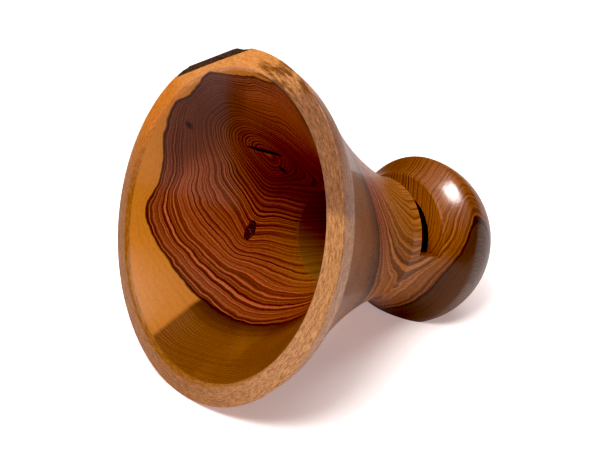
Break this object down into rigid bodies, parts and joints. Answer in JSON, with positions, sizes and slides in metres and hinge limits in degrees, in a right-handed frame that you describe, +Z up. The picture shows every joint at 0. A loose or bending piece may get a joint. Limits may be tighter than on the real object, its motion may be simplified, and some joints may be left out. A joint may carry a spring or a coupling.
{
  "type": "phone horn",
  "caption": "Turned wooden phone horn lying on its rim: flared bell, narrow neck, slotted ball end, one bore from the bell through the slot into the ball, bark left on the rim.",
  "frame": {"origin": "centre of the bounding box's bottom face, on the surface that the horn lies on", "axes": "+Z up, the bell's mouth towards -Y, the ball towards +Y"},
  "size_m": [0.161, 0.1924, 0.1536],
  "materials": {
    "varnished_wood": "gloss",
    "bark": "rough",
    "knot_wood": "gloss"
  },
  "bodies": {
    "root": {"turned_body": "varnished_wood", "bark_strip": "bark", "knot": "knot_wood"}
  },
  "joints": []
}
